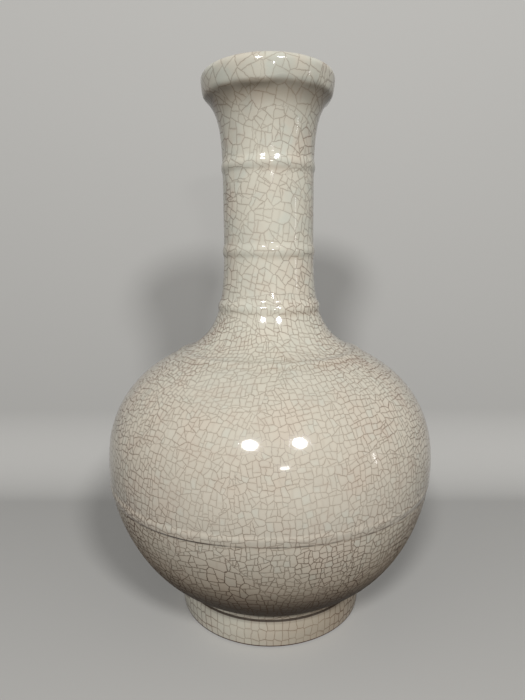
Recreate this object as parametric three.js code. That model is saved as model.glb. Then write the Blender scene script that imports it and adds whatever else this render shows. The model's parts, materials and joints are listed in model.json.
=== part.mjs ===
import * as THREE from 'three';

// A bowstring vase: a foot ring, a body thrown in two halves, a tall neck and a rolled mouth rim,
// luted end to end while the clay was soft, with five clay cords laid round the outside.
// Every piece is a solid of revolution about +Z. The origin is the middle of the face it stands on.

// Driving dimensions, in millimetres. Angles are in degrees, turning up from straight outwards.

// Heights, each measured from the one before.
const footHeight = 20;
const bellyRise = 81;
const shoulderRise = 66;
const neckRise = 98;
const throatRise = 48;
const rimRise = 15.5;

// Outer radii from the foot to the mouth.
const baseRadius = 56.2;
const bellyRadius = 101;
const shoulderRadius = 53.4;
const waistRadius = 27.4;
const throatRadius = 36.1;
const lipFootRadius = 38.2;
const lipRadius = 39.2;
const crestRadius = 32;

// The angle of the wall where one sweep runs into the next.
const baseAngle = 25.5;
const shoulderAngle = 157.5;
const throatAngle = 43;
const lipFootAngle = 76;
const boreAngle = 76;

// How far each end of a sweep holds its angle, as a share of the rise of that sweep.
const bellyPull = [0.43, 0.335];
const shoulderPull = [0.51, 0.47];
const neckPull = [0.31, 0.655];
const throatPull = [0.41, 0.25];
const borePull = [0.5, 0.3];
const rimUnderPull = [0.4, 0.4];
const rimBandPull = [0.33, 0.33];
const rimTopPull = [0.6, 0.95];
const rimInsidePull = [0.5, 0.25];

// Clay thicknesses and the bores inside.
const wall = 5.5;
const floorThickness = 6;
const mouthBore = 26.2;
const lipFootRise = 3.4;
const lipHeight = 10.5;

// Foot ring.
const footBore = 49;
const restRadius = 57.2;
const restWidth = 6;
const restBevel = 0.8;
const footTopRadius = 58.8;
const footSwell = 0.5;
const ledgeHeight = 2.6;
const ledgeInset = 0.7;
const ledgeLean = 0.3;
const ledgeRound = 1;

// Clay cords. The crest is a share of the cord's width, counted from its lower edge.
const neckCord = { width: 9.4, stand: 0.85, crest: 0.42 };
const shoulderCord = { width: 8.6, stand: 0.8, crest: 0.45 };
const bellyCord = { width: 6.8, stand: 0.7, crest: 0.35 };
const bellyCordDrop = 11.6;
const shoulderCordDrop = 0.9;
const lowerCordRise = 27.5;
const middleCordRise = 60.2;
const upperCordRise = 10.8;

// The bead of slip that is pressed over the belly seam from inside.
const beadWidth = 12;
const beadStand = 1.4;

// Facets round the vase, and steps along each stretch of an outline.
const facets = 60;
const cordSteps = 4;
const footSteps = 4;
const ledgeSteps = 2;
const lowerWallSteps = 8;
const lowerInsideSteps = 5;
const upperWallSteps = 10;
const upperInsideSteps = 8;
const shoulderSteps = 4;
const neckWallSteps = 3;
const neckInsideSteps = 4;
const throatSteps = 6;
const boreSteps = 4;
const rimUnderSteps = 2;
const rimBandSteps = 2;
const rimTopSteps = 4;
const bisections = 48;

const glaze = new THREE.MeshStandardMaterial({ color: 0xcdc6b6, roughness: 0.12, metalness: 0 });
const glazedFoot = new THREE.MeshStandardMaterial({ color: 0xc2bba9, roughness: 0.16, metalness: 0 });

const bellyHeight = footHeight + bellyRise;
const shoulderHeight = bellyHeight + shoulderRise;
const waistHeight = shoulderHeight + neckRise;
const throatHeight = waistHeight + throatRise;
const crestHeight = throatHeight + rimRise;
const outwards = 0;
const upright = 90;
const inwards = 180;

const at = (radius, height) => new THREE.Vector2(radius, height);

// A sweep of the wall between two points, leaving and arriving at the given angles.
function sweep(from, fromAngle, to, toAngle, pull) {
  const rise = to.y - from.y;
  const reach = (angle, share) => {
    const turned = THREE.MathUtils.degToRad(angle);
    return at(Math.cos(turned), Math.sin(turned)).multiplyScalar(share * rise);
  };
  const start = from.clone().add(reach(fromAngle, pull[0]));
  const end = to.clone().sub(reach(toAngle, pull[1]));
  return new THREE.CubicBezierCurve(from, start, end, to);
}

// The outer face of the wall, from the top of the foot to the seat of the mouth rim.
const base = at(baseRadius, footHeight);
const belly = at(bellyRadius, bellyHeight);
const shoulder = at(shoulderRadius, shoulderHeight);
const waist = at(waistRadius, waistHeight);
const throat = at(throatRadius, throatHeight);
const wallLine = new THREE.CurvePath();
wallLine.add(sweep(base, baseAngle, belly, upright, bellyPull));
wallLine.add(sweep(belly, upright, shoulder, shoulderAngle, shoulderPull));
wallLine.add(sweep(shoulder, shoulderAngle, waist, upright, neckPull));
wallLine.add(sweep(waist, upright, throat, throatAngle, throatPull));
const wallLength = wallLine.getLength();

// A point on the wall at a distance along it, sunk square into the clay by a depth.
function wallPoint(station, depth = 0) {
  const share = station / wallLength;
  const point = wallLine.getPoint(share);
  const along = wallLine.getTangent(share);
  return at(point.x - depth * along.y, point.y + depth * along.x);
}

// The distance along the wall at which it reaches a height.
function stationAt(height, depth = 0) {
  let low = 0;
  let high = wallLength;
  for (let pass = 0; pass < bisections; pass += 1) {
    const middle = (low + high) / 2;
    if (wallPoint(middle, depth).y < height) {
      low = middle;
    } else {
      high = middle;
    }
  }
  return low;
}

// Points at even distances along a stretch of the wall, both ends included.
function stretch(from, to, steps, depth = 0) {
  const points = [];
  for (let step = 0; step <= steps; step += 1) {
    points.push(wallPoint(from + ((to - from) * step) / steps, depth));
  }
  return points;
}

// A cord laid on the wall. Its crown is a curve, and its seat lies on the wall's own points.
function cordAt(height, shape, onSeam) {
  const centre = stationAt(height);
  const from = centre - shape.width / 2;
  const to = centre + shape.width / 2;
  const lower = wallPoint(from);
  const upper = wallPoint(to);
  const crownPull = 2 * shape.stand;
  const crown = new THREE.QuadraticBezierCurve(
    lower,
    wallPoint(from + shape.width * shape.crest, -crownPull),
    upper,
  );
  const seat = onSeam ? [wallPoint(centre)] : [];
  return { from, to, centre, lower, upper, outline: [...crown.getPoints(cordSteps), ...seat] };
}

const bellySeamHeight = bellyHeight - bellyCordDrop;
const neckSeamHeight = shoulderHeight + lowerCordRise;
const cords = {
  belly: cordAt(bellySeamHeight, bellyCord, true),
  shoulder: cordAt(shoulderHeight - shoulderCordDrop, shoulderCord, false),
  lower: cordAt(neckSeamHeight, neckCord, true),
  middle: cordAt(shoulderHeight + middleCordRise, neckCord, false),
  upper: cordAt(waistHeight + upperCordRise, neckCord, false),
};

// The crest of the slip bead, level with the belly seam on the inner face of the wall.
const bellySeamInside = wallPoint(stationAt(bellySeamHeight, wall), wall);
const bellySeamBead = at(bellySeamInside.x - beadStand, bellySeamInside.y);

const vase = new THREE.Group();

// Turns an outline about +Z. An outline that leaves the axis free is closed on itself.
function turn(name, outline, material) {
  const onAxis = outline[0].x === 0;
  const closed = onAxis ? outline : [...outline, outline[0]];
  const geometry = new THREE.LatheGeometry(closed, facets);
  geometry.rotateX(Math.PI / 2);
  const mesh = new THREE.Mesh(geometry, material);
  mesh.name = name;
  vase.add(mesh);
}

function footRing() {
  const restInner = restRadius - restWidth;
  const wallBottom = at(restRadius + restBevel, restBevel);
  const wallTop = at(footTopRadius, footHeight - ledgeHeight - ledgeInset);
  const swell = at(
    (wallBottom.x + wallTop.x) / 2 + 2 * footSwell,
    (wallBottom.y + wallTop.y) / 2,
  );
  const ledgeFoot = at(footTopRadius - ledgeInset, footHeight - ledgeHeight);
  const ledge = new THREE.QuadraticBezierCurve(
    ledgeFoot,
    at(ledgeFoot.x - ledgeLean, footHeight - ledgeRound),
    base,
  );
  return [
    at(restInner, 0),
    at(restRadius, 0),
    ...new THREE.QuadraticBezierCurve(wallBottom, swell, wallTop).getPoints(footSteps),
    ...ledge.getPoints(ledgeSteps),
    at(footBore, footHeight),
    at(restInner - restBevel, restBevel),
  ];
}

// The floor lies on the foot ring, and the wall climbs to half way under the belly cord.
function lowerBody() {
  const floorTop = footHeight + floorThickness;
  const floorEdge = stationAt(floorTop, wall);
  const beadEdge = stationAt(bellySeamHeight - beadWidth / 2, wall);
  return [
    at(0, footHeight),
    at(footBore, footHeight),
    ...stretch(0, cords.belly.from, lowerWallSteps),
    wallPoint(cords.belly.centre),
    bellySeamBead,
    ...stretch(beadEdge, floorEdge, lowerInsideSteps, wall),
    at(0, floorTop),
  ];
}

function upperBody() {
  const beadEdge = stationAt(bellySeamHeight + beadWidth / 2, wall);
  const neckEdge = stationAt(neckSeamHeight, wall);
  return [
    wallPoint(cords.belly.centre),
    ...stretch(cords.belly.to, cords.shoulder.from, upperWallSteps),
    ...stretch(cords.shoulder.to, cords.lower.from, shoulderSteps),
    wallPoint(cords.lower.centre),
    ...stretch(neckEdge, beadEdge, upperInsideSteps, wall),
    bellySeamBead,
  ];
}

function neck() {
  const waistStation = stationAt(waistHeight);
  const neckEdge = stationAt(neckSeamHeight, wall);
  const bore = sweep(
    at(waistRadius - wall, waistHeight),
    upright,
    at(mouthBore, throatHeight),
    boreAngle,
    borePull,
  );
  return [
    wallPoint(cords.lower.centre),
    ...stretch(cords.lower.to, cords.middle.from, neckWallSteps),
    ...stretch(cords.middle.to, waistStation, neckWallSteps),
    cords.upper.lower,
    ...stretch(cords.upper.to, wallLength, throatSteps),
    ...bore.getPoints(boreSteps).reverse(),
    ...stretch(waistStation, neckEdge, neckInsideSteps, wall).slice(1),
  ];
}

// A roll of clay round the mouth. It leaves the throat at a soft corner, stands almost upright
// as a band, and rolls over to a crest near the bore.
function mouthRim() {
  const lipFoot = at(lipFootRadius, throatHeight + lipFootRise);
  const widest = at(lipRadius, throatHeight + lipHeight);
  const crest = at(crestRadius, crestHeight);
  const bore = at(mouthBore, throatHeight);
  const underside = sweep(throat, throatAngle, lipFoot, lipFootAngle, rimUnderPull);
  const band = sweep(lipFoot, lipFootAngle, widest, upright, rimBandPull);
  const top = sweep(widest, upright, crest, inwards, rimTopPull);
  const inside = sweep(bore, boreAngle, crest, outwards, rimInsidePull);
  return [
    ...underside.getPoints(rimUnderSteps),
    ...band.getPoints(rimBandSteps).slice(1),
    ...top.getPoints(rimTopSteps).slice(1),
    ...inside.getPoints(boreSteps).reverse().slice(1),
  ];
}

turn('foot_ring', footRing(), glazedFoot);
turn('lower_body', lowerBody(), glaze);
turn('upper_body', upperBody(), glaze);
turn('neck', neck(), glaze);
turn('mouth_rim', mouthRim(), glaze);
turn('belly_string', cords.belly.outline, glaze);
turn('shoulder_string', cords.shoulder.outline, glaze);
turn('neck_string_lower', cords.lower.outline, glaze);
turn('neck_string_middle', cords.middle.outline, glaze);
turn('neck_string_upper', cords.upper.outline, glaze);

export default vase;
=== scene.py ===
# %% [markdown]
# # A bowstring vase in crackled glaze
# The real vase is thrown in clay: a foot ring, a body in two halves, a tall neck and a rolled rim
# are turned one by one and joined while soft. Five cords of clay go round the outside, and one
# coat of glaze covers everything but the edge it stands on. The glaze shrinks more than the clay,
# so it cracks into a fine net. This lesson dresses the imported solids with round, softened pieces
# that meet in the same places, and builds the glaze from shader nodes alone.

# %% Load the frame
import json
import math
from types import SimpleNamespace

import bpy
import numpy as np
from mathutils import Matrix, Vector

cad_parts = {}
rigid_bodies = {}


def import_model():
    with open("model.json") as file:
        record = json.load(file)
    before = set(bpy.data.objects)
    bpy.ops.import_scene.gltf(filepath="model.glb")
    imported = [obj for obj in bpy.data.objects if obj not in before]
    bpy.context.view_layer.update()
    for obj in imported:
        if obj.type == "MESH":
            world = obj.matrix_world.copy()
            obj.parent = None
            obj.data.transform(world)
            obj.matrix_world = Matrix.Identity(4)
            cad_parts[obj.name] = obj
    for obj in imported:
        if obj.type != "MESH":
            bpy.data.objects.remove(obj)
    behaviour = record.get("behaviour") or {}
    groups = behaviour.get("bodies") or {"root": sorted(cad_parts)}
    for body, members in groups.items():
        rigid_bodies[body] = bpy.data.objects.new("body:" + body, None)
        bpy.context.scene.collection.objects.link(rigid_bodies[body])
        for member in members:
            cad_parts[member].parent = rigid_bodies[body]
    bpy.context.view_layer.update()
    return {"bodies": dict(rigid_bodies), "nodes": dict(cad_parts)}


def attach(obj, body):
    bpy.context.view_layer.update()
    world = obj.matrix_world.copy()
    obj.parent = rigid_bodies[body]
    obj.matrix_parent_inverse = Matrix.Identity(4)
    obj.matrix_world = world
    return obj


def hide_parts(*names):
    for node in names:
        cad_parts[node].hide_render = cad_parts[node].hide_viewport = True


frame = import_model()
BODY = frame["bodies"][0] if isinstance(frame["bodies"], list) else next(iter(frame["bodies"]))
MM = 0.001
print("body:", BODY, "nodes:", sorted(frame["nodes"]))

# %% [markdown]
# ## The camera
# The photograph was taken a third of a metre away and a little above the middle of the vase, so the
# mouth is seen from slightly below its rim and the foot from above. The camera could be placed by
# eye, but solving it from the circles of the vase gives its height, tilt and focal length. The
# tilt is built from three unit vectors, which is easier to check than a chain of rotations.

# %% Place the camera
EYE = Vector((0, -330, 219.34)) * MM
PITCH = math.radians(9.37)
YAW = math.radians(-0.72)
ROLL = math.radians(-0.38)
FOCAL_LENGTH = 27.05
SENSOR = 36

level_right = Vector((math.cos(YAW), -math.sin(YAW), 0))
level_up = Vector((
    math.sin(PITCH) * math.sin(YAW),
    math.sin(PITCH) * math.cos(YAW),
    math.cos(PITCH),
))
right = math.cos(ROLL) * level_right + math.sin(ROLL) * level_up
up = math.cos(ROLL) * level_up - math.sin(ROLL) * level_right
back = right.cross(up)

camera = bpy.data.objects.new("camera", bpy.data.cameras.new("camera"))
camera.data.lens = FOCAL_LENGTH
camera.data.sensor_width = SENSOR
camera.data.clip_start = 0.01
turn = Matrix((right, up, back)).transposed().to_4x4()
camera.matrix_world = Matrix.Translation(EYE) @ turn
bpy.context.scene.collection.objects.link(camera)
bpy.context.scene.camera = camera
print("camera looks along", [round(c, 3) for c in -back])

# %% [markdown]
# ## The line of the wall
# A potter draws the wall of this form as one flowing line with five turning points: out from the
# foot, round the belly, in over the shoulder, up the neck and out to the rim. A hand-drawn spline
# would do, but four sweeps that meet at the same slant keep the line smooth and can be changed
# by their own sizes. Each is a cubic curve that leaves and arrives at a stated angle, and its pull
# says for what share of its rise it holds each. Lengths are in millimetres until a piece is turned.

# %% Sizes of the wall
FOOT_HEIGHT = 20
THROAT_HEIGHT = 313
CREST_HEIGHT = 328.5
WAIST_HEIGHT = 265
WALL = 5.5
FLOOR = 6
MOUTH_BORE = 26.2
UPRIGHT = 90
BASE_ANGLE = 25.5
SHOULDER_ANGLE = 157.5
THROAT_ANGLE = 43
SWEEP_STEPS = 300
base = (56.2, FOOT_HEIGHT)
belly = (101, 101)
shoulder = (53.4, 167)
waist = (27.4, WAIST_HEIGHT)
throat = (36.1, THROAT_HEIGHT)
SWEEPS = [
    (base, BASE_ANGLE, belly, UPRIGHT, (0.43, 0.335)),
    (belly, UPRIGHT, shoulder, SHOULDER_ANGLE, (0.51, 0.47)),
    (shoulder, SHOULDER_ANGLE, waist, UPRIGHT, (0.31, 0.655)),
    (waist, UPRIGHT, throat, THROAT_ANGLE, (0.41, 0.25)),
]
print("the wall has", len(SWEEPS), "sweeps")


# %% Draw the wall
def sweep(start, start_angle, end, end_angle, pull, steps=SWEEP_STEPS):
    """Points of a curve from start to end that leaves and arrives at the given angles."""
    start, end = np.array(start, float), np.array(end, float)
    rise = end[1] - start[1]

    def reach(angle, share):
        angle = math.radians(angle)
        return np.array([math.cos(angle), math.sin(angle)]) * share * rise

    t = np.linspace(0, 1, steps + 1)[:, None]
    first = start + reach(start_angle, pull[0])
    second = end - reach(end_angle, pull[1])
    return (
        (1 - t) ** 3 * start + 3 * (1 - t) ** 2 * t * first
        + 3 * (1 - t) * t ** 2 * second + t ** 3 * end
    )


def lengths(points):
    """The distance along a line of points, from its first one."""
    return np.concatenate([[0], np.cumsum(np.linalg.norm(np.diff(points, axis=0), axis=1))])


wall_points = np.vstack([base] + [sweep(*part)[1:] for part in SWEEPS])
wall_runs = lengths(wall_points)
wall_slants = np.gradient(wall_points, wall_runs, axis=0)
wall_slants /= np.linalg.norm(wall_slants, axis=1)[:, None]
WALL_RUN = wall_runs[-1]


def wall_at(run, rise=0.0):
    """Points at these distances along the wall, raised square off it by rise."""
    run = np.atleast_1d(run)
    point = np.stack([np.interp(run, wall_runs, wall_points[:, k]) for k in (0, 1)], axis=1)
    slant = np.stack([np.interp(run, wall_runs, wall_slants[:, k]) for k in (0, 1)], axis=1)
    outwards = np.stack([slant[:, 1], -slant[:, 0]], axis=1)
    return point + outwards * np.broadcast_to(rise, run.shape)[:, None]


def run_at(height, depth=0.0):
    """The distance along the wall where its face, sunk by depth, reaches a height."""
    heights = wall_at(wall_runs, -depth)[:, 1]
    return float(np.interp(height, heights, wall_runs))


print("the wall is", round(WALL_RUN, 1), "mm long from foot to rim")

# %% [markdown]
# ## The clay cords
# Each cord is a thin roll of clay pressed on with a thumb and smoothed with a wet sponge, and the
# glaze fills its edges, so it reads as a soft swelling and not as a wire. Its section could be a
# half circle with a bevel, but a curve that leaves the wall at no angle gives the same soft edge
# with no extra step. The crest sits below the middle, as a cord sags before it dries. Only the
# cord on the belly has a step at its lower edge.

# %% Sections of the cords
SINK = 0.5
SOFTNESS = 2.0
STEP_CREST = 0.2
STEP_SOFTNESS = 1.3
CORDS = {
    "belly_string": dict(height=89.4, width=6.8, stand=0.3, crest=0.6),
    "shoulder_string": dict(height=166.1, width=8.6, stand=0.8, crest=0.45),
    "neck_string_lower": dict(height=194.5, width=9.4, stand=1.05, crest=0.44),
    "neck_string_middle": dict(height=227.2, width=9.4, stand=0.76, crest=0.44),
    "neck_string_upper": dict(height=275.8, width=9.4, stand=0.72, crest=0.44),
}
for name, cord in CORDS.items():
    cord["run"] = run_at(cord["height"])
    cord["start"] = cord["run"] - cord["width"] / 2
    cord["end"] = cord["run"] + cord["width"] / 2
    print(name, "runs from", round(cord["start"], 1), "to", round(cord["end"], 1), "mm")
belly_cord, shoulder_cord, lower_cord, middle_cord, upper_cord = CORDS.values()


def crown(cord, run, crest, softness):
    """How high the cord stands at these distances along the wall, from 0 to 1."""
    share = np.clip((run - cord["start"]) / cord["width"], 0, 1)
    skewed = share ** (math.log(0.5) / math.log(crest))
    return np.sin(np.pi * skewed) ** softness


# %% [markdown]
# ## Outlines of the pieces
# A turned piece is an outline spun round the axis. Its outline runs up the outside and down the
# inside, and every point also carries its distance along the glazed skin, how far up a cord it is,
# and whether the stretch after it is a hidden joint face. Two pieces that meet share the points of
# their joint, so no light gets between them. Each cord lies in a shallow seat in the wall, which
# leaves it a thick edge where a cord laid on the bare wall would end in a razor.

# %% Make stretches of an outline
COLUMNS = {"run": 2, "crown": 3, "joint": 4, "step": 5}
SEAT_STEPS = 8


def stretch(points, runs, crowns=0.0, joint=False, steps=0.0):
    """Rows of radius, height, run, crown, joint and step for a line of points."""
    rows = np.zeros((len(points), 6))
    rows[:, :2] = points
    for label, values in (("run", runs), ("crown", crowns), ("joint", joint), ("step", steps)):
        rows[:, COLUMNS[label]] = values
    return rows


def even(start, end, step):
    """Distances from start to end in even steps of about this length."""
    return np.linspace(start, end, max(2, round(abs(end - start) / step) + 1))


def wall_stretch(start, end, step, rise=0.0, joint=False):
    """The wall between two distances along it."""
    runs = even(start, end, step)
    return stretch(wall_at(runs, rise), runs, joint=joint)


def seat(cord, half=None):
    """The sunk seat under a cord, whole or from one end to the seam in its middle."""
    start = cord["run"] if half == "upper" else cord["start"]
    end = cord["run"] if half == "lower" else cord["end"]
    return wall_stretch(start, end, cord["width"] / SEAT_STEPS, -SINK, joint=True)


def outline(*parts):
    """One outline from its stretches. A point that two stretches share is kept once."""
    rows = [parts[0]]
    for part in parts[1:]:
        if np.linalg.norm(rows[-1][-1, :2] - part[0, :2]) < 1e-6:
            rows[-1] = rows[-1][:-1]
        rows.append(part)
    return np.vstack(rows)


def joint_from(rows):
    """The same rows, with the stretch after the last one marked as a joint face."""
    rows = rows.copy()
    rows[-1, COLUMNS["joint"]] = 1
    return rows


# %% [markdown]
# ## The foot ring
# The foot is turned from a thick ring: it swells a little, stands on a narrow flat edge, and ends
# above in a small ledge with a groove under it, which catches a line of light and one of shade.
# The outline is drawn point by point because each change of direction is a separate tool mark.

# %% Outline of the foot ring
FOOT_BORE = 49
REST_OUTER = (57.2, 0)
REST_MIDDLE = (54.6, 0)
REST_INNER = (51.2, 0)
BORE_BOTTOM = (50.0, 1.4)
SIDE_BOTTOM = (58.0, 0.9)
SIDE_TOP = (58.8, 16.6)
GROOVE = (57.9, 17.3)
LEDGE = (57.7, 18.9)
SKIN_STEP = 0.9
INNER_STEP = 3.0
BORE_STEP = 2.5


def rounded(corners, radius, steps=5):
    """A line through these corners, each one turned by a small curve."""
    corners = [np.array(c, float) for c in corners]
    points = [corners[0]]
    for before, corner, after in zip(corners, corners[1:], corners[2:]):
        sides = [(other - corner, np.linalg.norm(other - corner)) for other in (before, after)]
        reach = min(radius, *(length / 2 for _, length in sides))
        into, out = (side / length for side, length in sides)
        for t in np.linspace(0, 1, steps + 1):
            points.append(corner + into * reach * (1 - t) ** 2 + out * reach * t ** 2)
    points.append(corners[-1])
    return np.array(points)


def finer(points, step):
    """The same line with no stretch longer than step."""
    points = np.asarray(points, float)
    runs = lengths(points)
    wanted = [0.0]
    for a, b in zip(runs, runs[1:]):
        parts = max(1, math.ceil((b - a) / step))
        wanted += list(a + (b - a) * np.arange(1, parts + 1) / parts)
    return np.stack([np.interp(wanted, runs, points[:, k]) for k in (0, 1)], axis=1)


swell = sweep(SIDE_BOTTOM, 82, SIDE_TOP, 93, (0.42, 0.42), 16)
foot_side = np.vstack([
    rounded([REST_MIDDLE, REST_OUTER, SIDE_BOTTOM], 0.7),
    swell[1:-4],
    rounded([swell[-4], SIDE_TOP, GROOVE, LEDGE, base], 0.8),
])
foot_side = finer(foot_side, SKIN_STEP)
foot_runs = lengths(foot_side) - lengths(foot_side)[-1]
foot_bore = rounded([(FOOT_BORE, FOOT_HEIGHT), BORE_BOTTOM, REST_INNER, REST_MIDDLE], 0.8)
foot_bore = finer(foot_bore, BORE_STEP)
foot_outline = outline(
    joint_from(stretch(foot_side, foot_runs)),
    stretch(foot_bore, foot_runs[0] - lengths(foot_bore)[::-1]),
)
print("foot ring outline:", len(foot_outline), "points, widest", round(foot_outline[:, 0].max(), 1))

# %% [markdown]
# ## The body, neck and rim
# The two halves of the body meet under the belly cord and the neck starts under the lowest neck
# cord, because a potter hides a joint under a cord. The rim is a roll of clay folded over the
# throat: full outside, with its crest near the bore.

# %% Outlines of the body and neck
FLOOR_TOP = FOOT_HEIGHT + FLOOR
BEAD_WIDTH = 12
BEAD_STAND = 1.4
BORE_ANGLE = 76
UNDERSIDE_SHIFT = 40


def inside(start, end):
    """The inner face of the wall, with the bead of slip that covers the belly seam."""
    runs = even(start, end, INNER_STEP)
    off_seam = np.clip(np.abs(runs - belly_cord["run"]) / (BEAD_WIDTH / 2), 0, 1)
    bead = BEAD_STAND * (1 + np.cos(np.pi * off_seam)) / 2
    return stretch(wall_at(runs, -WALL - bead), runs)


def outside(start, end):
    """The glazed face of the wall between two cords."""
    return joint_from(wall_stretch(start, end, SKIN_STEP))


floor_run = run_at(FLOOR_TOP, WALL)
floor_edge = wall_at(floor_run, -WALL)[0, 0]
underside = finer([(0, FOOT_HEIGHT), (FOOT_BORE, FOOT_HEIGHT)], INNER_STEP)
underside_runs = foot_runs[0] - UNDERSIDE_SHIFT - lengths(underside)[::-1]
floor_line = finer([(floor_edge, FLOOR_TOP), (0, FLOOR_TOP)], INNER_STEP)
lower_outline = outline(
    joint_from(stretch(underside, underside_runs)),
    outside(0, belly_cord["start"]),
    seat(belly_cord, "lower"),
    inside(belly_cord["run"], floor_run),
    stretch(floor_line, floor_run - lengths(floor_line)),
)
upper_outline = outline(
    seat(belly_cord, "upper"),
    outside(belly_cord["end"], shoulder_cord["start"]),
    seat(shoulder_cord),
    outside(shoulder_cord["end"], lower_cord["start"]),
    seat(lower_cord, "lower"),
    joint_from(inside(lower_cord["run"], belly_cord["run"])),
)
bore_top = (MOUTH_BORE, THROAT_HEIGHT)
bore_waist = wall_at(run_at(WAIST_HEIGHT), -WALL)[0]
bore_line = sweep(bore_waist, UPRIGHT, bore_top, BORE_ANGLE, (0.5, 0.3), 16)[::-1]
neck_outline = outline(
    seat(lower_cord, "upper"),
    outside(lower_cord["end"], middle_cord["start"]),
    seat(middle_cord),
    outside(middle_cord["end"], upper_cord["start"]),
    seat(upper_cord),
    outside(upper_cord["end"], WALL_RUN),
    stretch(bore_line, WALL_RUN - lengths(bore_line)),
    joint_from(inside(run_at(WAIST_HEIGHT), lower_cord["run"])),
)
print("the floor is", round(floor_edge, 1), "mm in radius at its edge")

# %% Outline of the rim
LIP_FOOT_HEIGHT = 316.4
LIP_FOOT_ANGLE = 76
lip_foot = (38.2, LIP_FOOT_HEIGHT)
lip = (39.2, 323.5)
crest = (32, CREST_HEIGHT)
rim_line = np.vstack([
    sweep(throat, THROAT_ANGLE, lip_foot, LIP_FOOT_ANGLE, (0.4, 0.4), 8),
    sweep(lip_foot, LIP_FOOT_ANGLE, lip, UPRIGHT, (0.33, 0.33), 8)[1:],
    sweep(lip, UPRIGHT, crest, 180, (0.6, 0.95), 14)[1:],
    sweep(bore_top, BORE_ANGLE, crest, 0, (0.5, 0.25), 16)[::-1][1:],
])
rim_outline = joint_from(stretch(rim_line, WALL_RUN + lengths(rim_line)))
print("the rim's section is", round(lengths(rim_line)[-1], 1), "mm round")

# %% Outlines of the cords
CORD_STEPS = 22


def cord_outline(cord):
    """The crown of a cord over its seat in the wall."""
    runs = np.linspace(cord["start"], cord["end"], CORD_STEPS + 1)
    height = crown(cord, runs, cord["crest"], SOFTNESS)
    step = crown(cord, runs, STEP_CREST, STEP_SOFTNESS) if cord is belly_cord else 0.0
    over = stretch(wall_at(runs, height * cord["stand"]), runs, height, steps=step)
    return joint_from(outline(joint_from(over), seat(cord)[::-1]))


OUTLINES = {
    "foot_ring": foot_outline,
    "lower_body": lower_outline,
    "upper_body": upper_outline,
    "neck": neck_outline,
    "mouth_rim": rim_outline,
    **{name: cord_outline(cord) for name, cord in CORDS.items()},
}
for name, rows in OUTLINES.items():
    print(name, len(rows), "points, radius up to", round(rows[:, 0].max(), 1), "mm")

# %% [markdown]
# ## Sums with nodes
# The turning and the glaze are node trees, and a tree is mostly sums. They could be set out node
# by node, but a sum is easier to read as a sum. A Wire is one output of a node, and to add,
# multiply or compare wires adds the Math node that does it.

# %% Helpers for node trees
class Wire:
    """One output of a node. A sum with it adds a Math node to its tree."""

    def __init__(self, socket):
        self.socket = socket
        self.tree = socket.id_data
        self.is_vector = socket.type in ("VECTOR", "RGBA")

    def __add__(self, other):
        return calc("ADD", self, other)

    def __sub__(self, other):
        return calc("SUBTRACT", self, other)

    def __rsub__(self, other):
        return calc("SUBTRACT", other, self)

    def __mul__(self, other):
        return calc("MULTIPLY", self, other)

    def __truediv__(self, other):
        return calc("DIVIDE", self, other)

    def __rtruediv__(self, other):
        return calc("DIVIDE", other, self)

    def __gt__(self, other):
        return calc("GREATER_THAN", self, other)

    def __abs__(self):
        return calc("ABSOLUTE", self)


def feed(node, values):
    """The node, with these inputs set to a value or linked to a wire."""
    for key, value in values.items():
        if isinstance(value, Wire):
            value.tree.links.new(value.socket, node.inputs[key])
        else:
            node.inputs[key].default_value = value
    return node


def add(tree, kind, feeds=None, **settings):
    """A new node with its settings and inputs."""
    made = tree.nodes.new(kind)
    for key, value in settings.items():
        setattr(made, key, value)
    return feed(made, feeds or {})


def get(tree, kind, feeds=None, out=0, **settings):
    """One output of a new node."""
    return Wire(add(tree, kind, feeds, **settings).outputs[out])


def outputs(node):
    """All outputs of a node by name."""
    return {socket.name: Wire(socket) for socket in node.outputs}


def calc(operation, *values, out=0, clamp=False):
    """The result of a Math node, or of a Vector Math node where a value is a vector."""
    wires = [value for value in values if isinstance(value, Wire)]
    tree, feeds = wires[0].tree, dict(enumerate(values))
    if not any(wire.is_vector for wire in wires):
        return get(tree, "ShaderNodeMath", feeds, operation=operation, use_clamp=clamp)
    if operation == "MULTIPLY":
        operation, feeds = "SCALE", {0: values[0], "Scale": values[1]}
    return get(tree, "ShaderNodeVectorMath", feeds, out, operation=operation)


def most(first, *others, pick="MAXIMUM"):
    """The largest of these values."""
    for other in others:
        first = calc(pick, first, other)
    return first


def least(*values):
    """The smallest of these values."""
    return most(*values, pick="MINIMUM")


def length(vector):
    """The length of a vector."""
    return calc("LENGTH", vector, out="Value")


def parts(vector):
    """The three parts of a vector or colour."""
    node = add(vector.tree, "ShaderNodeSeparateXYZ", {0: vector})
    return [Wire(socket) for socket in node.outputs]


def joined(tree, **values):
    """A vector from its X, Y and Z. What isn't given is 0."""
    return get(tree, "ShaderNodeCombineXYZ", values)


def fade(value, start, end, low=0.0, high=1.0):
    """A smooth change from low to high while value goes from start to end."""
    feeds = {"Value": value, "From Min": start, "From Max": end, "To Min": low, "To Max": high}
    kind = "ShaderNodeMapRange"
    return get(value.tree, kind, feeds, "Result", interpolation_type="SMOOTHSTEP")


def new_group(name, kind, inputs, results):
    """A node group, its inputs as wires, and its output node."""
    tree = bpy.data.node_groups.new(name, kind)
    kinds = {int: "NodeSocketInt", float: "NodeSocketFloat"}
    for label, value in inputs.items():
        socket = kinds.get(type(value), value)
        made = tree.interface.new_socket(name=label, in_out="INPUT", socket_type=socket)
        if socket != value:
            made.default_value = value
    for label, socket in results.items():
        tree.interface.new_socket(name=label, in_out="OUTPUT", socket_type=socket)
    return tree, outputs(tree.nodes.new("NodeGroupInput")), tree.nodes.new("NodeGroupOutput")


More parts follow.
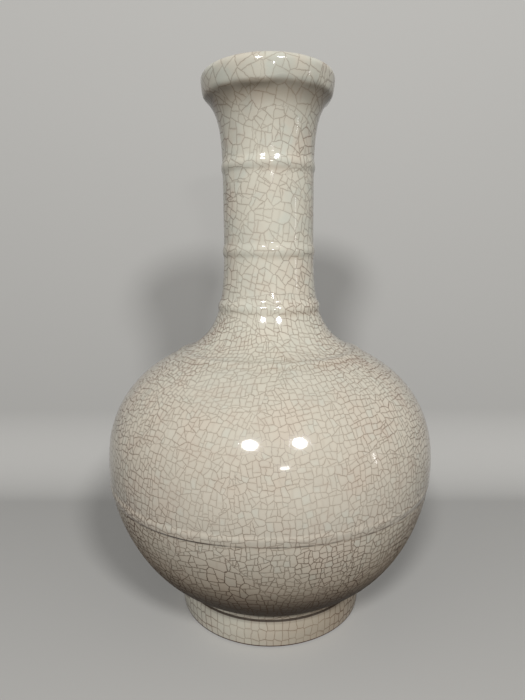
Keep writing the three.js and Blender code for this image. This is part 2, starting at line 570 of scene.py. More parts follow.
# %% [markdown]
# ## Turning the pieces
# A Spin or Screw modifier could turn an outline, but a Geometry Nodes tree can also add what the
# hand leaves: a wall a few tenths of a millimetre out of round, cords that wander, thumb marks
# along them, a belly cord that sags and steps on the left, and a wavy lower edge of the lip. The
# tree bends a flat grid round the axis: a grid point's row picks a point of the outline and its
# column gives the angle. The unevenness is a noise in space, so pieces that touch move together.
# Columns go round anticlockwise and rows go up the outside, so the faces look outwards.

# %% Start the tree that turns an outline
turning, given, result = new_group("turned_piece", "GeometryNodeTree", {
    "Outline": "NodeSocketGeometry",
    "Facets": 256,
    "Out of round": 0.00022,
    "Wander": 0.0006,
    "Thumb marks": 0.00012,
    "Left step": 0.00065,
    "Left sag": 0.0016,
    "Lip wave": 0.0016,
    "Seed": 3.0,
    "Material": "NodeSocketMaterial",
}, {"Piece": "NodeSocketGeometry"})
line = given["Outline"]
rows = get(turning, "GeometryNodeAttributeDomainSize", {"Geometry": line}, "Point Count",
           component="MESH")
columns = given["Facets"] + 1
grid = add(turning, "GeometryNodeMeshGrid", {"Vertices X": columns, "Vertices Y": rows})
index = get(turning, "GeometryNodeInputIndex")


def row_and_column(count):
    """The row and column of each point or face, where a column holds count of them."""
    column = calc("FLOOR", (index + 0.5) / count)
    return index - column * count, column


row, column = row_and_column(rows)
face_row, _ = row_and_column(rows - 1)
angle = column / given["Facets"] * (2 * math.pi)


def from_outline(label, at, kind="FLOAT"):
    """A value stored on the outline, read at this row."""
    if label == "position":
        source = get(turning, "GeometryNodeInputPosition")
    else:
        node = "GeometryNodeInputNamedAttribute"
        source = get(turning, node, {"Name": label}, "Attribute", data_type=kind)
    feeds = {"Geometry": line, "Value": source, "Index": at}
    return get(turning, "GeometryNodeSampleIndex", feeds, "Value", data_type=kind)


radius, _, height = parts(from_outline("position", row, "FLOAT_VECTOR"))
outwards = joined(turning, X=calc("COSINE", angle), Y=calc("SINE", angle))
true_round = outwards * radius + joined(turning, Z=height)
print("the tree reads", len(COLUMNS), "values of each outline")

# %% Add the traces of the hand
# Each trace has the scale of its noise, and a shift that sets it apart from the others.
LEAN_NOISE = (14, 0)
MARK_NOISE = (60, 20)
WANDER_NOISE = (11, 40)
LIP_NOISE = (48, 60)
OFF_AXIS = (0.0, 0.02)
ABOVE_FOOT = (0.012, 0.06)
BELOW_RIM = (0.315, 0.30)
LEFT_HALF = (0.1, -0.85)
NEAR_CORD = (0.030, 0.006)
LIP_FROM_BELOW = (0.309, LIP_FOOT_HEIGHT * MM)
LIP_FROM_ABOVE = (0.3225, LIP_FOOT_HEIGHT * MM)


def unevenness(scale, shift):
    """A smooth noise in space from -1 to 1."""
    feeds = {"Vector": true_round, "W": given["Seed"] + shift, "Scale": scale, "Detail": 1.0}
    return get(turning, "ShaderNodeTexNoise", feeds, noise_dimensions="4D") * 4.0 - 2.0


lean = unevenness(*LEAN_NOISE) * fade(radius, *OFF_AXIS) * given["Out of round"]
marks = unevenness(*MARK_NOISE) * from_outline("crown", row) * given["Thumb marks"]
to_the_left = fade(calc("COSINE", angle), *LEFT_HALF)
step = from_outline("step", row) * to_the_left * given["Left step"]
wander = fade(height, *ABOVE_FOOT) * fade(height, *BELOW_RIM)
wander = wander * unevenness(*WANDER_NOISE) * given["Wander"]
by_the_cord = fade(abs(height - belly_cord["height"] * MM), *NEAR_CORD)
sag = to_the_left * by_the_cord * given["Left sag"]
by_the_lip = fade(height, *LIP_FROM_BELOW) * fade(height, *LIP_FROM_ABOVE)
lip_wave = by_the_lip * unevenness(*LIP_NOISE) * given["Lip wave"]
sideways = outwards * (lean + marks + step)
upwards = joined(turning, Z=wander + lip_wave - sag)
by_hand = true_round + sideways + upwards
print("turned_piece has", len(turning.nodes), "nodes so far")

# %% Finish the tree
SAME_POINT = 2e-6
shape = grid
for kind, feeds, settings in (
    ("StoreNamedAttribute", {"Name": "run", "Value": from_outline("run", row)}, {}),
    ("StoreNamedAttribute", {"Name": "joint", "Value": from_outline("joint", face_row)},
     {"domain": "FACE"}),
    ("SetPosition", {"Position": by_hand}, {}),
    ("MergeByDistance", {"Distance": SAME_POINT}, {}),
    ("SetShadeSmooth", {}, {}),
    ("RealizeInstances", {}, {}),
    ("SetMaterial", {"Material": given["Material"]}, {}),
):
    shape = add(turning, "GeometryNode" + kind, {0: Wire(shape.outputs[0]), **feeds}, **settings)
feed(result, {"Piece": Wire(shape.outputs[0])})
TURNING_INPUTS = {
    item.name: item.identifier
    for item in turning.interface.items_tree
    if item.item_type == "SOCKET" and item.in_out == "INPUT"
}
print("turned_piece has", len(turning.nodes), "nodes")


# %% Turn one piece
def turn_piece(name, rows, material):
    """A plain mesh object made from an outline by the tree."""
    mesh = bpy.data.meshes.new(name + "_outline")
    if rows[0, 0] > 0:
        rows = np.vstack([rows, rows[:1]])
    places = np.zeros((len(rows), 3))
    places[:, 0] = rows[:, 0] * MM
    places[:, 2] = rows[:, 1] * MM
    mesh.from_pydata(places.tolist(), [(k, k + 1) for k in range(len(rows) - 1)], [])
    for label, column in COLUMNS.items():
        layer = mesh.attributes.new(label, "FLOAT", "POINT")
        layer.data.foreach_set("value", rows[:, column].astype(np.float32))
    piece = bpy.data.objects.new(name, mesh)
    bpy.context.scene.collection.objects.link(piece)
    modifier = piece.modifiers.new("turning", "NODES")
    modifier.node_group = turning
    modifier[TURNING_INPUTS["Material"]] = material
    seen = bpy.context.evaluated_depsgraph_get()
    finished = bpy.data.meshes.new_from_object(piece.evaluated_get(seen))
    piece.modifiers.remove(modifier)
    piece.data = finished
    finished.name = name
    bpy.data.meshes.remove(mesh)
    return piece


# %% [markdown]
# ## One skin over every joint
# The glaze runs over all the joints, so no edge may show where two pieces meet. They could be
# joined into one mesh, but then the vase would no longer be made of its parts. Instead the
# directions the surface faces are averaged over every piece that shares a point, and each piece
# keeps that shared direction as its own normals. Hidden joint faces stay out of the average.

# %% Share normals between pieces
SHARED_POINT = 4e-6


def values_of(items, label, count, kind=float):
    """One property of every item, as an array."""
    found = np.empty(count, kind)
    items.foreach_get(label, found)
    return found


def face_corners(mesh):
    """The place of each face corner, the way and area of its face, and whether that is skin."""
    faces, count = mesh.polygons, len(mesh.polygons)
    points = values_of(mesh.vertices, "co", len(mesh.vertices) * 3).reshape(-1, 3)
    corners = values_of(mesh.loops, "vertex_index", len(mesh.loops), int)
    face_of = np.repeat(np.arange(count), values_of(faces, "loop_total", count, int))
    ways = values_of(faces, "normal", count * 3).reshape(-1, 3)[face_of]
    areas = values_of(faces, "area", count)[face_of]
    joint = values_of(mesh.attributes["joint"].data, "value", count, np.float32)[face_of]
    return np.round(points[corners] / SHARED_POINT).astype(np.int64), ways, areas, joint < 0.5


def share_normals(pieces):
    """Sets each piece's normals to those of the whole glazed skin."""
    gathered = [face_corners(piece.data) for piece in pieces]
    places, ways, areas, skin = (np.concatenate(column) for column in zip(*gathered))
    _, same = np.unique(places, axis=0, return_inverse=True)
    same = same.ravel()
    summed = np.zeros((same.max() + 1, 3))
    np.add.at(summed, same, ways * (areas * skin)[:, None])
    size = np.linalg.norm(summed, axis=1)
    shared = (summed / np.maximum(size, 1e-20)[:, None])[same]
    normals = np.where(skin[:, None], shared, ways)
    start = 0
    for piece in pieces:
        mesh = piece.data
        end = start + len(mesh.loops)
        mesh.normals_split_custom_set(normals[start:end].tolist())
        mesh.attributes.remove(mesh.attributes["joint"])
        start = end


# %% [markdown]
# ## The net of cracks
# A glaze tears in turns: first into plates, then each plate into cells, then each cell is cut
# across, and each cut stops dead at an older one. One Voronoi texture would give a honeycomb whose
# lines all meet by threes, so here every cell of it is cut again by two straight lines near its
# middle, the second staggered on either side of the first. The plates are cut from space and have
# no seam. Inside a plate the net is drawn on the skin itself, by the way round the vase and the
# distance up the wall, because most cracks on a turned pot run upright or level. The distance up
# counts a little less, so the cells stand a little taller than they are wide.

# %% Helpers for crack patterns
TO_MM = 1000.0
CENTRE = (0.5, 0.5, 0.5)


def crack_group(name, sizes):
    """An empty crack pattern with these sizes as its inputs."""
    results = dict.fromkeys(("Crack", "Halo", "Cell", "Patch"), "NodeSocketFloat")
    return new_group(name, "ShaderNodeTree", sizes, results)


def noise(place, scale, detail=2.0, out=0, **more):
    """A smooth noise over a place, as a number or, with out=1, as a colour."""
    feeds = {"Vector": place, "Scale": scale, "Detail": detail, **more}
    return get(place.tree, "ShaderNodeTexNoise", feeds, out)


def push(place, scale, detail, reach, **more):
    """A smooth push in every direction, by up to about half of reach."""
    return (noise(place, scale, detail, 1, **more) - CENTRE) * reach


def way_round(place):
    """The angle round the vase of a place, 0 in front, and its distance from the axis."""
    x, y, _ = parts(place)
    return calc("ARCTAN2", x, y * -1.0), length(joined(place.tree, X=x, Y=y))


def skin_run(tree):
    """The distance along the glazed skin, in millimetres."""
    return get(tree, "ShaderNodeAttribute", out="Fac", attribute_name="run")


def voronoi(place, feature, looseness=1.0, across="3D"):
    """The outputs of a Voronoi pattern with cells one unit wide."""
    feeds = {"Vector": place, "Scale": 1.0, "Randomness": looseness}
    settings = dict(feature=feature, voronoi_dimensions=across)
    return outputs(add(place.tree, "ShaderNodeTexVoronoi", feeds, **settings))


def flat_cells(place, looseness):
    """Loose squares laid flat, and the distance to their edges."""
    edges = voronoi(place, "DISTANCE_TO_EDGE", looseness, "2D")
    return voronoi(place, "F1", looseness, "2D"), edges["Distance"]


def crack_line(distance, half, strength):
    """Full strength in the middle of a crack and 0 beside it."""
    return fade(distance, half * 0.6, half * 1.4, 1.0, 0.0) * strength


# %% Measure the skin
# Each push has the scale and detail of its noise, and its reach in millimetres.
BEND = dict(scale=0.13, detail=3.0, Roughness=0.6)
SHIVER = (0.55, 1.0, 0.9)
SWAY = (0.03, 1.0, 16.0)
SEED_SHIFT = 517.0
crackle, given, result = crack_group("crackle", {
    "Plate size": 54.0,
    "Cell low": 7.6,
    "Cell belly": 6.0,
    "Cell neck": 8.3,
    "Cell rim": 11.5,
    "Line": 0.26,
    "Bend": 2.0,
    "Rise share": 0.87,
    "Seed": 1.0,
})
place = get(crackle, "ShaderNodeTexCoord", out="Object") * TO_MM
bend = push(place, reach=given["Bend"], **BEND) + push(place, *SHIVER)
bent_place = place + bend
shift = joined(crackle, Z=given["Seed"] * SEED_SHIFT)
moved = bent_place + shift
swayed = moved + push(moved, *SWAY)

# %% Cut the plates
# A plate ends at the plane halfway to the next one, and the skin meets that plane at a slant.
STEEPEST = 0.25
plate_size = given["Plate size"]
coarse = swayed * (1.0 / plate_size)
near, next_near = voronoi(coarse, "F1"), voronoi(coarse, "F2")
gap = next_near["Position"] - near["Position"]
squares = calc("POWER", next_near["Distance"], 2.0) - calc("POWER", near["Distance"], 2.0)
to_plane = squares / (length(gap) * 2.0)
surface = get(crackle, "ShaderNodeNewGeometry", out="Normal")
across = calc("CROSS_PRODUCT", calc("NORMALIZE", gap), surface)
from_plate = to_plane / most(length(across), STEEPEST) * plate_size
middle = near["Position"] * plate_size - shift
middle_height = parts(middle)[2]

# %% Lay each plate out flat
# The way round is measured partly on one radius for the whole plate, which grows to the belly,
# falls to the neck and grows again at the rim.
FOOT_WALL = 62.0
WALLS = ((20.0, 70.0, 96.0), (140.0, 200.0, 38.0), (200.0, 220.0, 28.0), (296.0, 314.0, 39.0))
PLATE_SHARE = 0.3
NECK_TILT = (200.0, 240.0, 0.22, 0.6)
PLATE_JUMP = 830.0


def rotate(place, by):
    """A flat place turned by an angle."""
    feeds = {"Vector": place, "Angle": by}
    return get(place.tree, "ShaderNodeVectorRotate", feeds, rotation_type="Z_AXIS")


angle, radius = way_round(bent_place)
middle_angle, _ = way_round(middle)
from_middle = calc("WRAP", angle - middle_angle, math.pi, -math.pi)
plate_radius = FOOT_WALL
for start, end, wall in WALLS:
    plate_radius = fade(middle_height, start, end) * (wall - plate_radius) + plate_radius
radius = radius * (1 - PLATE_SHARE) + plate_radius * PLATE_SHARE
run = (skin_run(crackle) + parts(bend)[2]) * given["Rise share"]
flat_place = joined(crackle, X=from_middle * radius, Y=run)
_, plate_chance, _ = parts(near["Color"])
tilt = (plate_chance * 2.0 - 1.0) * fade(middle_height, *NECK_TILT)
flat_place = rotate(flat_place, tilt) + near["Color"] * PLATE_JUMP

# %% Cut the cells
CELL_ZONES = {"Cell belly": (50.0, 80.0), "Cell neck": (158.0, 205.0), "Cell rim": (300.0, 316.0)}
LOOSENESS = (200.0, 250.0, 0.56, 0.82)
UNCUT = 0.88


def chance(value, factor):
    """Another random number from 0 to 1, made from one that is random already."""
    return calc("FRACT", value * factor)


def within(value, spread):
    """A random number from 0 to 1 spread evenly round 0."""
    return value * spread - spread / 2


cell_size = given["Cell low"]
for label, (start, end) in CELL_ZONES.items():
    cell_size = fade(middle_height, start, end) * (given[label] - cell_size) + cell_size
scaled_place = flat_place * (1.0 / cell_size)
cell, to_edge = flat_cells(scaled_place, fade(middle_height, *LOOSENESS))
red, green, blue = parts(cell["Color"])
turned = rotate(scaled_place - cell["Position"], (green > 0.5) * (math.pi / 2) + within(red, 0.4))
across, along, _ = parts(turned)
first_cut = across + within(blue, 0.2)
side = calc("SIGN", first_cut)
stagger = chance(blue, 7.3) * 0.14 + 0.04
second_cut = along + side * stagger + within(chance(red, 9.1), 0.5) * first_cut
from_cell = to_edge * cell_size
from_first = abs(first_cut) * cell_size
from_second = abs(second_cut) * cell_size
left_whole = (chance(green, 5.7) > UNCUT) * (side > 0.0)

# %% Draw the lines
PLATE_INK, CELL_INK, FIRST_INK, SECOND_INK = 0.6, 0.95, 0.85, 0.75
PATCHES = (0.035, 3.0)
WORN = (0.35, 0.62, 0.65, 1.0)
HALO = (0.0, 1.1, 1.0, 0.0)
half_line = given["Line"] * 0.5
patchy = noise(moved, *PATCHES)
lines = most(
    crack_line(from_plate, half_line, PLATE_INK),
    crack_line(from_cell, half_line, CELL_INK),
    crack_line(from_first, half_line, FIRST_INK),
    crack_line(from_second, half_line, SECOND_INK) * (1.0 - left_whole),
)
mark = side * 0.37 + calc("SIGN", second_cut) * 0.21 + red
feed(result, {
    "Crack": lines * fade(patchy, *WORN),
    "Halo": fade(least(from_cell, from_first, from_second), *HALO),
    "Cell": calc("FRACT", mark + 2.0),
    "Patch": patchy,
})
print("crackle has", len(crackle.nodes), "nodes")

# %% [markdown]
# ## The bricks of the foot
# The foot ring shrank round its own circle, so its cracks stand upright and run level between, like
# brickwork laid by hand. The bricks are a Voronoi pattern laid round the foot in whole columns. It
# could be bent into a ring so that its ends meet, but one more crack at the back hides them.

# %% Build the brick group
BRICK_LOOSENESS = 0.36
BRICK_BEND = (0.2, 2.0)
BRICK_PATCHES = (0.06, 3.0)
BRICK_SHIFT = 91.0
BRICK_WORN = (0.35, 0.6, 0.6, 1.0)
bricks, given, result = crack_group("bricks", {
    "Columns": 83.0,
    "Height": 6.4,
    "Line": 0.3,
    "Seed": 4.0,
})
place = get(bricks, "ShaderNodeTexCoord", out="Object") * TO_MM
bend_round, bend_up, _ = parts(noise(place, *BRICK_BEND, 1))
angle, radius = way_round(place)
columns = angle / (2 * math.pi) * given["Columns"] + bend_round * 0.35
courses = skin_run(bricks) / given["Height"] + bend_up * 0.3
flat_place = joined(bricks, X=columns, Y=courses) + joined(bricks, Y=given["Seed"] * BRICK_SHIFT)
brick, to_edge = flat_cells(flat_place, BRICK_LOOSENESS)
from_edge = to_edge * (radius * (2 * math.pi) / given["Columns"])
from_seam = (math.pi - abs(angle)) * radius
half_line = given["Line"] * 0.5
lines = most(crack_line(from_edge, half_line, 1.0), crack_line(from_seam, half_line, 1.0))
patchy = noise(place, *BRICK_PATCHES)
feed(result, {
    "Crack": lines * fade(patchy, *BRICK_WORN),
    "Halo": fade(from_edge, *HALO),
    "Cell": parts(brick["Color"])[0],
    "Patch": patchy,
})
print("bricks has", len(bricks.nodes), "nodes")

# %% [markdown]
# ## The zones of the skin
# The glaze isn't the same all over. Its lines widen and darken low down and at the sides, where it
# ran thick, and the neck and the upper flanks are made lighter by painted light. The zones could be
# painted by hand, but a zone given by two heights or two angles can be moved by a number. From here
# on heights are in metres and angles in radians, with 0 in front.

# %% Measure the zones
LOW_DOWN = (0.110, 0.058)
HIGH_UP = (0.140, 0.170)
SIDE_START = (0.32, 1.2)
SIDE_END = (2.4, 1.7, 0.3, 1.0)


def between(value, rise, fall):
    """1 between a rise and a fall, each with a soft edge, and 0 outside them."""
    return fade(value, *rise) * fade(value, *fall)


def zones(tree):
    """The place on the skin, and how far it lies in each zone."""
    place = get(tree, "ShaderNodeTexCoord", out="Object")
    height = parts(place)[2]
    angle, _ = way_round(place)
    return SimpleNamespace(
        place=place,
        height=height,
        angle=angle,
        run=skin_run(tree),
        low=fade(height, *LOW_DOWN),
        high=fade(height, *HIGH_UP),
        side=between(abs(angle), SIDE_START, SIDE_END),
        on_body=height > FOOT_HEIGHT * MM,
    )


# %% [markdown]
# ## The glaze
# The glaze is milky and warm, a shade pinker in some patches and greyer in others. One noise would
# cloud it all alike, so the grey also comes cell by cell, as a cell of the real glaze is a little
# lighter or darker than its neighbour. Stain lies in a faint halo along the cracks and in patches of
# rust. Under the lip, low at the sides and on the right of the foot the glaze is darkened by painted
# shade; low on the belly and along the lower edge of the cords the darkening is partly stain and
# partly painted shade.

# %% Mix the colour of the glaze
GLAZE_WARM = (0.640, 0.608, 0.510, 1)
GLAZE_COOL = (0.598, 0.598, 0.515, 1)
GLAZE_PINK = (0.645, 0.543, 0.440, 1)
CLOUD_SCALE = 90.0
COOL_CELLS = (0.82, 0.9)
COOL_PATCHES = (0.35, 0.6, 0.3, 1.0)
COOL_WITH_HEIGHT = (0.11, 0.24, 0.35, 0.33)
CLOUDS = (0.45, 0.65)
CLOUDS_WITH_HEIGHT = (0.11, 0.31, 0.15, 0.75)
PINK_PATCHES = (0.46, 0.66)
BELLY_BOTTOM, BELLY_TOP = (0.015, 0.030), (0.172, 0.130)
NECK_BOTTOM, NECK_TOP = (0.165, 0.205), (0.302, 0.280)
UPPER_HALF = (0.100, 0.130)


def mix_colour(factor, first, second):
    """One colour mixed into another."""
    feeds = {0: factor, 6: first, 7: second}
    return get(factor.tree, "ShaderNodeMix", feeds, 2, data_type="RGBA")


def clean_glaze(at, net, tone):
    """The glaze before any stain, with painted light that makes the neck and the upper flanks
    lighter.
    """
    cloud = noise(at.place, CLOUD_SCALE)
    cool = fade(net["Cell"], *COOL_CELLS) * fade(cloud, *COOL_PATCHES)
    cool = cool * fade(at.height, *COOL_WITH_HEIGHT)
    cool = fade(cloud, *CLOUDS) * fade(at.height, *CLOUDS_WITH_HEIGHT) + cool
    on_belly = between(at.height, BELLY_BOTTOM, BELLY_TOP)
    pink = on_belly * 0.35 + fade(net["Patch"], *PINK_PATCHES) * 0.3
    body = mix_colour(cool, mix_colour(pink, GLAZE_WARM, GLAZE_PINK), GLAZE_COOL)
    # painted light: the neck is painted lighter
    tone = between(at.height, NECK_BOTTOM, NECK_TOP) * 0.11 + tone
    # painted light: this mask makes the upper flanks lighter, and later it also adds blush
    flank_light_and_blush = at.side * fade(at.height, *UPPER_HALF)
    return body * ((net["Cell"] * 0.05 + 0.975) * (flank_light_and_blush * 0.12 + tone)), flank_light_and_blush


# %% Add the stain and the painted shade
STAINED_AND_SHADED_GLAZE = (0.340, 0.252, 0.168, 1)
BLUSH = (0.51, 0.385, 0.305, 1)
DARK_STAIN_AND_SHADE = (0.045, 0.031, 0.022, 1)
LOW_STAIN_AND_SHADE = (0.090, 0.020)
LIP_SHADE = (0.300, 0.311), (0.3155, 0.3135)
CORD_EDGE = 0.4
BESIDE_CORD = (0.3, 2.4, 1.0, 0.0)
CORD_PATCHES = (0.4, 0.6, 0.06, 0.22)
BLUSH_SCALE = 75.0
BLUSH_PATCHES = (0.52, 0.66)
LOW_DARK_STAIN_AND_SHADE = (0.062, 0.031, 0.0, 0.97)
SHADE_RIGHT_OF_FOOT = (-0.9, 0.9, 0.0, 0.68)


def stain_and_shade_below_cords(at, net):
    """The faint stain and painted shade along the lower edge of every cord."""
    stain_and_shade = most(0.0, *(
        fade(abs(at.run - (cord["start"] + CORD_EDGE)), *BESIDE_CORD) for cord in CORDS.values()
    ))
    return stain_and_shade * fade(net["Patch"], *CORD_PATCHES)


def stained_and_shaded_glaze(at, net, body, flank_light_and_blush):
    """The glaze with its soft stains and its painted shade."""
    # darker and browner low on the belly, mostly painted shade with some stain, and painted shade
    # under the lip
    stain_and_painted_shade = fade(at.height, *LOW_STAIN_AND_SHADE) * at.on_body + between(at.height, *LIP_SHADE) * 0.5
    # painted shade: the lower sides of the body are darker
    stain_and_painted_shade = at.side * at.on_body * (at.low * 0.42 + 0.02) + stain_and_painted_shade
    stain_and_painted_shade = net["Halo"] * 0.11 + stain_and_painted_shade
    # partly stain, partly painted shade along the lower edge of each cord
    stain_and_painted_shade = calc("ADD", stain_and_shade_below_cords(at, net), stain_and_painted_shade, clamp=True)
    body = mix_colour(stain_and_painted_shade, body, STAINED_AND_SHADED_GLAZE)
    blush = fade(noise(at.place, BLUSH_SCALE), *BLUSH_PATCHES)
    blush = (flank_light_and_blush * 0.14 + (net["Halo"] * 0.12 + 0.07)) * blush
    body = mix_colour(blush, body, BLUSH)
    # painted shade: the glaze darkens strongly towards the foot, mostly painted shade with some
    # stain
    body = mix_colour(fade(at.height, *LOW_DARK_STAIN_AND_SHADE) * at.on_body, body, DARK_STAIN_AND_SHADE)
    # painted shade: the foot is darker towards its right side
    painted_shade_right_of_foot = fade(at.angle, *SHADE_RIGHT_OF_FOOT) * (1.0 - at.on_body)
    return mix_colour(painted_shade_right_of_foot, body, STAINED_AND_SHADED_GLAZE)


# %% [markdown]
# ## The dark edge of the belly cord
# The lower edge of the belly cord holds a thin dark line, partly dirt and partly a painted shadow
# under
# the step: strong on the left, where the cord steps off the wall, broken in front and on the right,
# and gone between. A line of one width would look drawn, so it wanders with the patches of the
# glaze.

# %% Draw the edge of the belly cord
EDGE_LEFT = (-1.35, -1.1), (-0.15, -0.35)
EDGE_FRONT = (-0.6, -0.3), (0.5, 0.25)
EDGE_RIGHT = (0.2, 0.4), (1.35, 1.1)
BREAK_SCALE = 110.0
EDGE_BREAKS = (0.38, 0.55, 0.2, 0.65)
EDGE_WIDTH = (0.2, 0.7, 1.0, 0.0)


def cord_edge_dirt_and_shadow(at, net):
    """How dark the lower edge of the belly cord is: a painted shadow under its step, with some dirt.
    """
    ragged = (net["Patch"] * 2.4 - 1.2) * 0.8
    off_edge = abs(ragged + (at.run - (belly_cord["start"] + 0.5)))
    ahead = most(between(at.angle, *EDGE_FRONT), between(at.angle, *EDGE_RIGHT))
    ahead = ahead * fade(noise(at.place, BREAK_SCALE), *EDGE_BREAKS)
    stain_and_shade = most(between(at.angle, *EDGE_LEFT) * 0.95, ahead)
    return stain_and_shade * fade(off_edge, *EDGE_WIDTH)


# %% [markdown]
# ## The lines and the foot's groove
# The cracks have taken up brown stain, and nearly black dirt low down and at the sides. The groove
# under the ledge of the foot is painted dark, partly dirt and partly painted shade, and a soft
# painted shade lies on the foot below it. The bare edge the vase stands on is wiped clean of glaze
# and fires to a dark iron brown.

# %% Width and ink of the lines
STAIN = (0.160, 0.093, 0.058, 1)
SHOULDER = (0.150, 0.165), (0.205, 0.190)
SIDE_DEPTH = (0.120, 0.170, 0.62, 0.28)
LOW_INK = (0.118, 0.055, 0.0, 0.72)
SIDE_INK = (0.120, 0.160, 0.55, 0.08)
GROOVE_BOTTOM, GROOVE_TOP = (0.0164, 0.0169), (0.0180, 0.0176)
GROOVE_SHADE = (0.0150, 0.0166, 0.0, 0.35)
BARE_EDGE = (0.0016, 0.0011)


def line_width(at, line):
    """Lines widen low down, on the shoulder and at the sides."""
    width = at.high * 0.3 + (at.low * 0.65 + 1.0)
    return (at.side * (at.low * 1.55 + 0.75) + width) * line


def line_depth(at, deep):
    """How strongly the lines cover the glaze."""
    depth = at.low * 0.6 + 1.0 - at.high * 0.14
    depth = between(at.height, *SHOULDER) * 0.4 + depth
    depth = at.side * fade(at.height, *SIDE_DEPTH) + depth
    return least(depth * deep, 1.0)


def line_ink(at):
    """The colour of the lines."""
    low = fade(at.height, *LOW_INK) * at.on_body
    return mix_colour(most(low, at.side * fade(at.height, *SIDE_INK)), STAIN, DARK_STAIN_AND_SHADE)


def groove_dirt_and_shade(at):
    """The groove of the foot, partly dirt and partly painted shade, and the soft painted shade below
    it.
    """
    below = between(at.height, GROOVE_SHADE, GROOVE_TOP)
    return most(between(at.height, GROOVE_BOTTOM, GROOVE_TOP), below)


# %% [markdown]
# ## The finish
# A plain Principled shader carries the glaze, glossy like glass. The cracks, the groove and the
# bare clay are rougher, and a slight bump along the cracks and a slow swell in the surface break
# the edge of each reflection. The glaze low on the body has less gloss, because it faces a pale
# floor that would light it up. A gloss could be linked to a mask, but the export drops it. Its
# gloss is set on the shader and not linked to a mask, so this is a material of its own.

# %% Build the glaze
BARE_CLAY = (0.105, 0.052, 0.036, 1)
DULL = (0.103, 0.052)
GROOVE_DULL = (0.1, 0.3)
CRACK_RELIEF = -0.000003
SWELL_SCALE = 55.0
SWELL_RELIEF = 0.00006


def new_material(name):
    """An empty node material with a Principled shader."""
    material = bpy.data.materials.new(name)
    material.use_nodes = True
    tree = material.node_tree
    tree.nodes.clear()
    shader = add(tree, "ShaderNodeBsdfPrincipled")
    add(tree, "ShaderNodeOutputMaterial", {0: Wire(shader.outputs[0])})
    return material, tree, shader


def roughness(at, crack, groove, bare):
    """Smooth glaze, dull low down, and rough where it is cracked, dirty or bare."""
    dull = fade(at.height, *DULL) * (at.on_body * 0.3 + 0.7)
    rough = dull * 0.35 + (crack * 0.2 + 0.07)
    rough = fade(groove, *GROOVE_DULL) * 0.35 + rough
    return bare * 0.5 + rough


def glaze_skin(name, cracks, line=0.27, deep=0.58, tone=1.0, gloss=0.5):
    """The glaze over a crack pattern: its lines' width and depth, its lightness and gloss."""
    material, tree, shader = new_material(name)
    shader.inputs["Specular IOR Level"].default_value = gloss
    at = zones(tree)
    net_node = add(tree, "ShaderNodeGroup", node_tree=cracks)
    feed(net_node, {"Line": line_width(at, line)})
    net = outputs(net_node)
    crack, groove, bare = net["Crack"], groove_dirt_and_shade(at), fade(at.height, *BARE_EDGE)
    body, flank_light_and_blush = clean_glaze(at, net, tone)
    body = stained_and_shaded_glaze(at, net, body, flank_light_and_blush)
    # painted shadow under the step of the belly cord, with some dirt
    body = mix_colour(cord_edge_dirt_and_shadow(at, net), body, DARK_STAIN_AND_SHADE)
    body = mix_colour(crack * line_depth(at, deep), body, line_ink(at))
    # painted shade, with some dirt: the groove of the foot and the soft shade below it
    body = mix_colour(groove * 0.93, body, DARK_STAIN_AND_SHADE)
    relief = crack * CRACK_RELIEF + noise(at.place, SWELL_SCALE, 1.0) * SWELL_RELIEF
    bump = {"Height": relief, "Distance": 1.0, "Strength": 1.0}
    feed(shader, {
        "Base Color": mix_colour(bare, body, BARE_CLAY),
        "Roughness": roughness(at, crack, groove, bare),
        "Normal": get(tree, "ShaderNodeBump", bump),
    })
    print(name, "has", len(tree.nodes), "nodes")
    return material


crackle_glaze = glaze_skin("crackle_glaze", crackle)
low_glaze = glaze_skin("low_glaze", crackle, gloss=0.03)
foot_glaze = glaze_skin("foot_glaze", bricks, line=0.17, deep=0.40, tone=1.04, gloss=0.16)
FINISHES = {"foot_ring": foot_glaze, "lower_body": low_glaze}

# %% [markdown]
# ## The pieces in their places
# Each piece takes the place of its imported solid, on the same body.
# They are all turned first, because their shared normals need every neighbour.

# %% Turn and place the pieces
pieces = {}
for name, rows in OUTLINES.items():
    piece = turn_piece(name + "_skin", rows, FINISHES.get(name, crackle_glaze))
    pieces[name] = piece
share_normals(list(pieces.values()))
for name, piece in pieces.items():
    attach(piece, BODY)
    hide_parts(name)
    "foot_glaze" if name == "foot_ring" else "crackle_glaze"
    mesh = piece.data
    mesh.calc_loop_triangles()
    print(name, len(mesh.loop_triangles), "triangles")

# %% [markdown]
# ## Light
# Two lamps stand to the left and right of the camera, well above it, and show as two white spots
# on the belly and on each cord. Their places come from those spots: a reflection gives the
# direction of its lamp. A dim lamp straight ahead and a narrow strip far to the right give the
# small sparks. Soft light from all round fills the sides.

# %% Place the lamps
AIM = Vector((0, -0.09, 0.135))
AWAY = 1.6
ROUND, SQUARE = "ELLIPSE", "RECTANGLE"
LAMPS = {
    "lamp_left": ((-0.205, -0.775, 0.598), (0.27, 0.27), 11.8, ROUND),
    "lamp_right": ((0.328, -0.718, 0.612), (0.25, 0.28), 10.6, ROUND),
    "lamp_small": ((0.172, -0.948, 0.269), (0.14, 0.06), 1.2, SQUARE),
    "lamp_strip": ((0.953, -0.28, 0.11), (0.03, 0.24), 0.24, SQUARE),
}
ROOM_COLOUR = (1.0, 0.985, 0.96, 1)
ROOM_LIGHT = 0.244
for name, (way, size, power, shape) in LAMPS.items():
    light = bpy.data.lights.new(name, "AREA")
    light.shape = shape
    light.size, light.size_y = size
    light.energy = power
    lamp = bpy.data.objects.new(name, light)
    lamp.location = AIM + AWAY * Vector(way)
    lamp.rotation_euler = (AIM - lamp.location).to_track_quat("-Z", "Y").to_euler()
    bpy.context.scene.collection.objects.link(lamp)
    print(name, "gives", power, "W")

world = bpy.data.worlds.new("room")
world.use_nodes = True
room = world.node_tree.nodes["Background"]
room.inputs["Color"].default_value = ROOM_COLOUR
room.inputs["Strength"].default_value = ROOM_LIGHT
bpy.context.scene.world = world

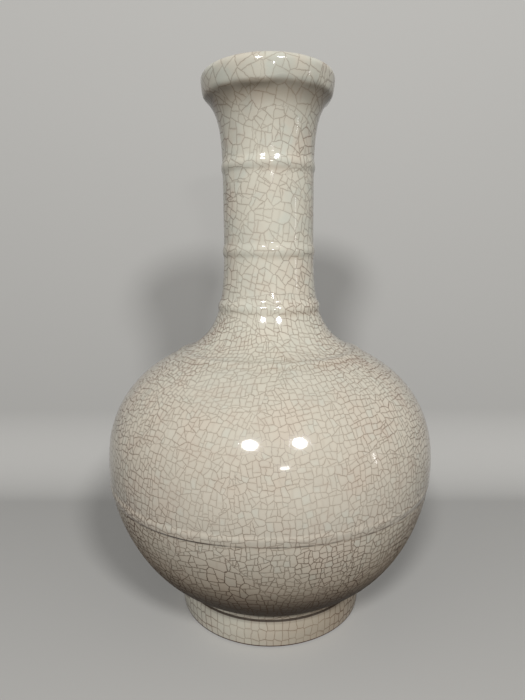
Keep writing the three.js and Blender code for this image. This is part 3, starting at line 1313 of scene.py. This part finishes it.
# %% [markdown]
# ## Floor and backdrop
# A sheet of pale card lies under the vase and curves up behind it, close enough to take the soft
# shadows of the neck. From behind it is see-through, so that it never hides the vase. The camera
# and reflections see it pale, and it throws back only a little light on the vase.

# %% Make the backdrop
BACKDROP_BEHIND = 0.20
CURVE = 0.07
CARD_REACH = 3.0
CARD_TOP = 2.5
CARD_SEEN = (0.56, 0.552, 0.53, 1)
CARD_BOUNCE = (0.05, 0.05, 0.05, 1)
bend_line = [
    (BACKDROP_BEHIND - CURVE + CURVE * math.sin(a), CURVE - CURVE * math.cos(a))
    for a in np.linspace(0, math.pi / 2, 17)
]
side = [(-CARD_REACH, 0.0), *bend_line, (BACKDROP_BEHIND, CARD_TOP)]
places = [(x, y, z) for y, z in side for x in (-CARD_REACH, CARD_REACH)]
faces = [(2 * k, 2 * k + 1, 2 * k + 3, 2 * k + 2) for k in range(len(side) - 1)]
card_mesh = bpy.data.meshes.new("backdrop")
card_mesh.from_pydata(places, [], faces)
card_mesh.polygons.foreach_set("use_smooth", [True] * len(faces))
card = bpy.data.objects.new("backdrop", card_mesh)
bpy.context.scene.collection.objects.link(card)
print("the card has", len(faces), "faces")

# %% Finish the backdrop
card_finish = bpy.data.materials.new("pale_card")
card_finish.use_nodes = True
tree = card_finish.node_tree
tree.nodes.clear()
paths = outputs(add(tree, "ShaderNodeLightPath"))
seen = most(paths["Is Camera Ray"], paths["Is Glossy Ray"])
paper = get(tree, "ShaderNodeBsdfDiffuse", {"Color": mix_colour(seen, CARD_BOUNCE, CARD_SEEN)})
clear = get(tree, "ShaderNodeBsdfTransparent")
behind = get(tree, "ShaderNodeNewGeometry", out="Backfacing")
either = get(tree, "ShaderNodeMixShader", {0: behind, 1: paper, 2: clear})
add(tree, "ShaderNodeOutputMaterial", {0: either})
card_mesh.materials.append(card_finish)

# %% [markdown]
# ## The view
# Colours are shown through the Standard view transform. The dressed vase has to fill
# the box of its solids.

# %% Finish
bpy.context.scene.view_settings.view_transform = "Standard"
